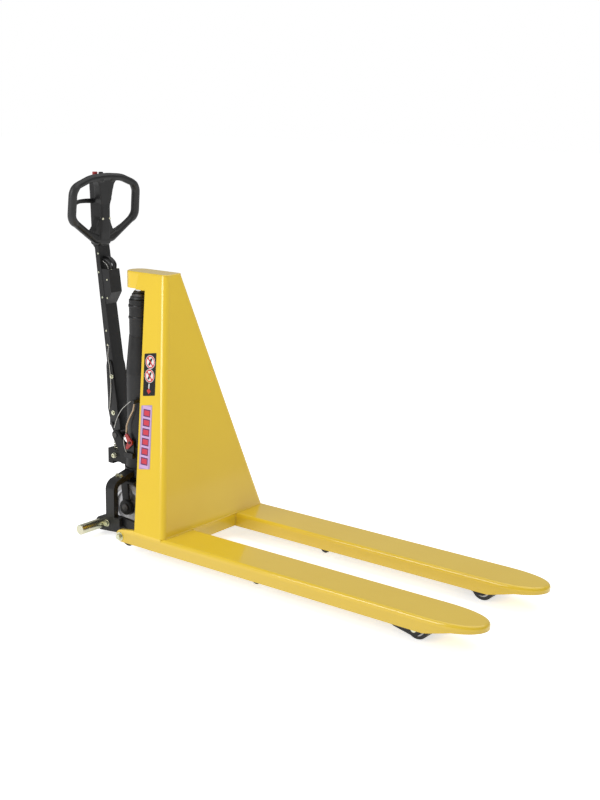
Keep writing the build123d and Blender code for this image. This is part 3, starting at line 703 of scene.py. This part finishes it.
# %% Control lever
route = smooth_line([(F - 0.5340, -0.0180, 1.1370), (F - 0.5340, -0.0560, 1.1385),
    (F - 0.5345, -0.0860, 1.1365),
                     (F - 0.5355, -0.1060, 1.1260), (F - 0.5365, -0.1170, 1.1080)], 8)
width = [0.0084 - 0.0028 * k / (len(route) - 1) for k in range(len(route))]
finger = place("control_finger", tube("control_finger", route, 0.006, 16, width=width),
    finishes["black_plastic"], "control_lever", "black_plastic", 50)
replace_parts(finger, "control_lever")
print("control lever made")

# %% [markdown]
# Screws, rivets and nuts repeat all over the truck, so a Geometry Nodes tree puts them on.
# It takes loose points that each carry an `aim`, stands a washer and a tapered head on
# every point and turns them to the aim. Welds use a second tree: overlapping beads along a
# seam, which is how a welded bead really looks.


# %% Geometry Nodes tools
def wire(tree, kind, settings=None, **sockets):
    """Adds a node and connects or sets its sockets, which are named with _ for a space."""
    node = tree.nodes.new(kind)
    for key, value in (settings or {}).items():
        setattr(node, key, value)
    for key, value in sockets.items():
        socket = node.inputs[key.replace("_", " ")]
        if isinstance(value, bpy.types.NodeSocket):
            tree.links.new(value, socket)
        else:
            socket.default_value = value
    return node


def new_tree(name, sizes):
    """A tree with a geometry input, number inputs, a material and a geometry output."""
    tree = bpy.data.node_groups.new(name, "GeometryNodeTree")
    tree.interface.new_socket("Geometry", in_out="INPUT", socket_type="NodeSocketGeometry")
    for label in sizes:
        tree.interface.new_socket(label, in_out="INPUT", socket_type="NodeSocketFloat")
    tree.interface.new_socket("Material", in_out="INPUT", socket_type="NodeSocketMaterial")
    tree.interface.new_socket("Geometry", in_out="OUTPUT", socket_type="NodeSocketGeometry")
    return tree, tree.nodes.new("NodeGroupInput"), tree.nodes.new("NodeGroupOutput")


def grow(name, tree, mesh, finish, body, slot, sharp=38, **sizes):
    """Runs a tree on a mesh and keeps the plain result as one piece on one body."""
    seed = bpy.data.objects.new(name + "_seed", mesh)
    bpy.context.scene.collection.objects.link(seed)
    modifier = seed.modifiers.new("grow", "NODES")
    modifier.node_group = tree
    for item in tree.interface.items_tree:
        if item.in_out == "INPUT" and item.name in sizes:
            modifier[item.identifier] = float(sizes[item.name])
        elif item.in_out == "INPUT" and item.name == "Material":
            modifier[item.identifier] = finish
    graph = bpy.context.evaluated_depsgraph_get()
    result = bpy.data.meshes.new_from_object(seed.evaluated_get(graph), depsgraph=graph)
    bpy.data.objects.remove(seed)
    return place(name, result, finish, body, slot, sharp)


heads, given, result = new_tree("heads", ["Radius", "Height", "Sides"])
math = wire(heads, "ShaderNodeMath", {"operation": "MULTIPLY"})
heads.links.new(given.outputs["Radius"], math.inputs[0])
math.inputs[1].default_value = 0.72
wide = wire(heads, "ShaderNodeMath", {"operation": "MULTIPLY"})
heads.links.new(given.outputs["Radius"], wide.inputs[0])
wide.inputs[1].default_value = 1.35
thin = wire(heads, "ShaderNodeMath", {"operation": "MULTIPLY"})
heads.links.new(given.outputs["Height"], thin.inputs[0])
thin.inputs[1].default_value = 0.28
head = wire(heads, "GeometryNodeMeshCone", Vertices=given.outputs["Sides"], Radius_Top=math.outputs[0],
    Radius_Bottom=given.outputs["Radius"], Depth=given.outputs["Height"])
washer = wire(heads, "GeometryNodeMeshCone", Vertices=20, Radius_Top=wide.outputs[0],
    Radius_Bottom=wide.outputs[0], Depth=thin.outputs[0])
both = wire(heads, "GeometryNodeJoinGeometry")
heads.links.new(head.outputs["Mesh"], both.inputs[0])
heads.links.new(washer.outputs["Mesh"], both.inputs[0])
aim = wire(heads, "GeometryNodeInputNamedAttribute", {"data_type": "FLOAT_VECTOR"}, Name="aim")
turned_to = wire(heads, "FunctionNodeAlignRotationToVector", {"axis": "Z"}, Vector=aim.outputs[0])
copies = wire(heads, "GeometryNodeInstanceOnPoints", Points=given.outputs["Geometry"],
    Instance=both.outputs[0], Rotation=turned_to.outputs[0])
real = wire(heads, "GeometryNodeRealizeInstances", Geometry=copies.outputs[0])
dressed = wire(heads, "GeometryNodeSetMaterial", Geometry=real.outputs[0], Material=given.outputs["Material"])
heads.links.new(dressed.outputs[0], result.inputs[0])

beads, given, result = new_tree("beads", ["Bead", "Pitch"])
seam = wire(beads, "GeometryNodeMeshToCurve", Mesh=given.outputs["Geometry"])
spaced = wire(beads, "GeometryNodeResampleCurve", {"mode": "LENGTH"}, Curve=seam.outputs[0],
    Length=given.outputs["Pitch"])
drop = wire(beads, "GeometryNodeMeshIcoSphere", Radius=given.outputs["Bead"], Subdivisions=2)
copies = wire(beads, "GeometryNodeInstanceOnPoints", Points=spaced.outputs[0], Instance=drop.outputs[0],
    Scale=(1.0, 1.0, 0.8))
real = wire(beads, "GeometryNodeRealizeInstances", Geometry=copies.outputs[0])
dressed = wire(beads, "GeometryNodeSetMaterial", Geometry=real.outputs[0], Material=given.outputs["Material"])
beads.links.new(dressed.outputs[0], result.inputs[0])
print("trees:", heads.name, beads.name)


# %% Screws and rivets
def screws(name, spots, body, finish, slot, radius, height, sides=6):
    """spots are (place, aim) pairs."""
    mesh = bpy.data.meshes.new(name)
    mesh.from_pydata([p for p, _ in spots], [], [])
    aims = mesh.attributes.new("aim", "FLOAT_VECTOR", "POINT")
    for item, (_, way) in zip(aims.data, spots):
        item.vector = Vector(way).normalized()
    piece = grow(name, heads, mesh, finish, body, slot, Radius=radius, Height=height, Sides=sides)
    print(name, len(spots), "heads")
    return piece


def channel_front(z):
    """Where the tiller channel's front face is at a height."""
    return F - 0.440 - 0.154 * (z - 0.580)


pale = finishes["zinc_steel"]
flank = [((channel_front(z) - back_by, side * 0.0271, z), (0, side, 0)) for side in (-1, 1)
         for z, back_by in ((0.958, 0.006), (0.893, 0.014), (0.806, 0.012), (0.690, 0.014), (0.640, 0.016))]
screws("channel_rivets", flank, "tiller", pale, "zinc_steel", 0.0026, 0.0014, 12)
stem_x = F - 0.4866
stem_heads = [((stem_x, side * 0.0165, 1.078), (cos(lean), 0, -sin(lean))) for side in (-1, 1)]
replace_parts(screws("stem_heads", stem_heads, "tiller", pale, "zinc_steel", 0.0030, 0.0018, 12), "stem_screws")
low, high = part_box("cover_box")
side_spots = [((high[0] - 0.020, side * 0.0261, z), (0, side, 0)) for side in (-1, 1)
    for z in (high[2] - 0.036, high[2] - 0.100)]
lid_spots = [((high[0] - 0.010, side * 0.014, high[2] + 0.0001), (0, 0, 1)) for side in (-1, 1)]
screws("box_screws", side_spots + lid_spots, "tiller", pale, "zinc_steel", 0.0024, 0.0014, 12)

# %% [markdown]
# The steel round the tiller's foot is two cheeks bolted to the channel. Each cheek is a
# plate cut to an outline, with a bolt through it and the nut of the return link below.

# %% Tiller cheeks
cheek = [(F - 0.455, 0.376), (F - 0.4640, 0.414), (F - 0.4635, 0.442), (F - 0.4685, 0.566),
    (F - 0.4655, 0.582),
         (F - 0.4560, 0.588), (F - 0.4460, 0.584), (F - 0.4395, 0.566), (F - 0.4190, 0.440),
         (F - 0.4130, 0.382)]
for side, name in ((-1, "right_cheek"), (1, "left_cheek")):
    place(name, plate(name, cheek, side * 0.0274, side * 0.0330, 0.0012), finishes["black_paint"], "tiller",
        "black_paint")
bolts = [((F - 0.4420, side * 0.0331, 0.530), (0, side, 0)) for side in (-1, 1)]
bolts += [((F - 0.4370, side * 0.0331, 0.400), (0, side, 0)) for side in (-1, 1)]
screws("cheek_bolts", bolts, "tiller", pale, "zinc_steel", 0.0062, 0.0050)
print("cheek outline has", len(cheek), "corners")

# %% [markdown]
# Thin wires and cables are what make the tiller look real: three cables into the box and the
# pull wire down the channel to the release lever. They are clipped
# at both ends, so they ride with the tiller or with the pump and never cross the hinge.

# %% Wires
steel_wire = metal("bare_wire", (0.75, 0.74, 0.70), (0.60, 0.59, 0.55), 0.25, (1, 1, 1), 60.0)
root = (channel_front(0.934), 0.934)
cables = {}
for name, y, lift, radius in (("box_cable_near", -0.011, 0.000, 0.0036),
        ("box_cable_far", 0.012, 0.006, 0.0034), ("main_cable", 0.001, 0.010, 0.0046)):
    route = [(root[0] + 0.0002, y, root[1] + lift), (root[0] + 0.012, y - 0.001, root[1] + lift + 0.003),
             (root[0] + 0.027, y, root[1] + lift - 0.006),
             (root[0] + 0.035, y + 0.002, (root[1] + lift + high[2]) / 2 - 0.002),
             (root[0] + 0.034, y + 0.002, high[2] + 0.0005)]
    cables[name] = place(name, tube(name, smooth_line(route), radius, 12), finishes["grip_rubber"], "tiller",
        "grip_rubber", 60)
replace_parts(cables["main_cable"], "cable_arch")
route = [(root[0] + 0.0002, -0.018, 0.934), (root[0] + 0.010, -0.021, 0.932),
    (root[0] + 0.026, -0.021, 0.922), (root[0] + 0.033, -0.019, high[2] + 0.0005)]
place("lock_wire", tube("lock_wire", smooth_line(route), 0.0007, 8), steel_wire, "tiller", "zinc_steel", 60)
route = [(F - 0.4560, -0.0300, 0.640), (F - 0.4570, -0.0345, 0.606), (F - 0.4480, -0.0360, 0.560),
    (F - 0.4420, -0.0375, 0.500),
         (F - 0.4480, -0.0360, 0.450), (F - 0.4540, -0.0345, 0.410)]
place("pull_wire", tube("pull_wire", smooth_line(route), 0.0011, 8), steel_wire, "tiller", "zinc_steel", 60)
route = [(F - 0.4160, -0.0505, 0.352), (F - 0.3950, -0.0560, 0.392), (F - 0.3660, -0.0600, 0.430),
    (F - 0.3200, -0.0640, 0.466)]
place("return_wire", tube("return_wire", smooth_line(route), 0.0012, 8), steel_wire, "steer_unit",
    "zinc_steel", 60)
route = [(F - 0.3400, -0.0680, 0.349), (F - 0.3500, -0.0690, 0.330), (F - 0.3480, -0.0700, 0.300),
    (F - 0.3330, -0.0690, 0.272), (F - 0.3200, -0.0640, 0.262)]
place("lever_wire", tube("lever_wire", smooth_line(route), 0.0011, 8), steel_wire, "steer_unit",
    "zinc_steel", 60)
print("wires made")

# %% [markdown]
# The pump is a casting with things screwed into it: a valve plug on each flank, cap screws
# round the tank foot, and clamps round the barrel. Turned parts come from a profile spun
# round an axis.

# %% Pump fittings
for side, name in ((-1, "right_valve_plug"), (1, "left_valve_plug")):
    profile = [(0.0, 0.0), (0.0105, 0.0), (0.0105, 0.004), (0.0090, 0.0052), (0.0090, 0.0100),
        (0.0080, 0.0112), (0.0040, 0.0112), (0.0040, 0.0070), (0.0, 0.0070)]
    mesh = turned(name, profile, (F - 0.431, side * 0.0340, 0.246), (0, side, 0), 6)
    place(name, mesh, pale, "steer_unit", "zinc_steel", 30)
foot = [((ram_x + 0.0555 * cos(a), 0.0555 * sin(a), 0.3002), (0, 0, 1))
    for a in (radians(v) for v in (35, 90, 145, 215, 270, 325))]
screws("tank_screws", foot, "steer_unit", finishes["dark_steel"], "dark_steel", 0.0032, 0.0030, 12)
for z, name in ((0.792, "upper_clamp"), (0.752, "lower_clamp")):
    profile = [(0.0391, -0.004), (0.0402, -0.0045), (0.0412, -0.003), (0.0412, 0.003), (0.0402, 0.0045),
        (0.0391, 0.004)]
    place(name, turned(name, profile, (ram_x, 0, z), (0, 0, 1)), finishes["black_paint"], "steer_unit",
        "black_paint")
profile = [(0.0292, 0.0), (0.0345, 0.0), (0.0355, 0.002), (0.0335, 0.009), (0.0292, 0.010)]
place("rod_wiper", turned("rod_wiper", profile, (ram_x, 0, 0.8152), (0, 0, 1)), finishes["grip_rubber"],
    "steer_unit", "grip_rubber")
profile = [(0.0162, 0.0), (0.0235, 0.0), (0.0250, 0.002), (0.0215, 0.008), (0.0162, 0.009)]
place("stage_wiper", turned("stage_wiper", profile, (ram_x, 0, 0.8352), (0, 0, 1)), finishes["grip_rubber"],
    "ram_stage", "dark_steel")
print("pump fittings made")

# %% [markdown]
# The return spring under the press roller shortens by the plunger's whole travel when the
# tiller is pulled down. Its coils are copied here as they are, as a piece of their own on the
# pump, and the share of their length they would keep is only worked out and printed.

# %% Return spring
rest_spring = frame["nodes"]["plunger_spring"]
coil_mesh = rest_spring.data.copy()
coil_mesh.transform(rest_spring.matrix_world)
low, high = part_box("plunger_spring")
stroke_per_turn, pull_down = 0.0414, radians(75)
travel, length = stroke_per_turn * pull_down, high[2] - low[2]
coils = place("return_coils", coil_mesh, finishes[slot_of["plunger_spring"]], "steer_unit",
    slot_of["plunger_spring"], 60)
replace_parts(coils, "plunger_spring")
(low[0] + high[0]) / 2
(length - travel - 0.0015) / length
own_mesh(coils)
print("return spring", round(length, 4), "keeps", round((length - travel - 0.0015) / length, 3))

# %% [markdown]
# Wheels need their small rings: a dished bearing cover on each steered wheel, and a pale
# spacer ring on each load roller. They spin with their wheels.

# %% Wheel rings
for side, word in ((-1, "right"), (1, "left")):
    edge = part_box(word + "_steer_hub")
    outer = edge[0][1] if side < 0 else edge[1][1]
    profile = [(0.0145, -0.001), (0.0300, -0.001), (0.0300, 0.0006), (0.0255, 0.0016), (0.0180, 0.0016),
        (0.0145, 0.0004)]
    centre = (ram_x, outer, 0.085)
    place(word + "_bearing_cover", turned(word + "_bearing_cover", profile, centre, (0, side, 0)),
        finishes["dark_steel"], word + "_steer_wheel", "dark_steel")
    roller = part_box(word + "_load_tyre")
    centre = ((roller[0][0] + roller[1][0]) / 2, side * (max(abs(roller[0][1]), abs(roller[1][1]))), 0.0375)
    profile = [(0.0215, -0.001), (0.0270, -0.001), (0.0270, 0.0008), (0.0262, 0.0016), (0.0222, 0.0016),
        (0.0215, 0.0008)]
    place(word + "_roller_ring", turned(word + "_roller_ring", profile, centre, (0, side, 0)),
        finishes["hub_metal"], word + "_load_roller", "hub_metal")
print("wheel rings made")

# %% [markdown]
# The mast is folded plate, welded to the forks and to its cap. The welds are painted over
# with everything else, so they only show as a soft ripple that catches light.


# %% Welds
def weld(name, runs, body, bead, pitch):
    """Each run is a list of points."""
    points, edges = [], []
    for run in runs:
        start = len(points)
        points += run
        edges += [(start + i, start + i + 1) for i in range(len(run) - 1)]
    mesh = bpy.data.meshes.new(name)
    mesh.from_pydata(points, edges, [])
    piece = grow(name, beads, mesh, finishes["yellow_paint"], body, "yellow_paint", 180, Bead=bead,
        Pitch=pitch)
    print(name, len(runs), "runs")
    return piece


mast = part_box("front_plate")
plate_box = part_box("top_plate")
mast_foot = mast[1][0] - 0.0005
front_run = [(mast_foot, -0.236, 0.0872), (mast_foot, 0.236, 0.0872)]
cap_x = F - 0.295
cap_runs = [[(cap_x, side * 0.0432, 0.860), (cap_x, side * 0.0432, plate_box[0][2] - 0.002)]
    for side in (-1, 1)]
weld("mast_foot_weld", [front_run], "fork_frame", 0.0032, 0.0042)
weld("cap_weld", cap_runs, "fork_frame", 0.0022, 0.0034)
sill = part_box("cross_sill")
inner = [[(sill[1][0] - 0.001, side * 0.1098, 0.046), (sill[1][0] - 0.001, side * 0.1098, 0.084)]
    for side in (-1, 1)]
weld("sill_weld", inner, "fork_frame", 0.0028, 0.0040)

# %% [markdown]
# The floor is a plain pale sheet of card. It glows a little more for the camera than for
# the truck, so it stays white out to the horizon without lighting the undersides.

# %% Floor
floor_mesh = bpy.data.meshes.new("floor")
floor_mesh.from_pydata([(-30, -30, -0.0005), (30, -30, -0.0005), (30, 30, -0.0005), (-30, 30, -0.0005)], [],
    [(0, 1, 2, 3)])
floor = bpy.data.objects.new("floor", floor_mesh)
bpy.context.scene.collection.objects.link(floor)
card = Finish("pale_card", roughness=0.9)
card.put(card.shader, {"Base Color": card.mix(card.noise(3.0), (0.93, 0.93, 0.93), (0.95, 0.95, 0.95))})
direct = card.add("ShaderNodeLightPath")
card.put(card.shader, {"Emission Color": (1, 1, 1, 1), "Emission Strength": 0.42 + direct * 0.22})
floor_mesh.materials.append(card.material)
print("floor made")
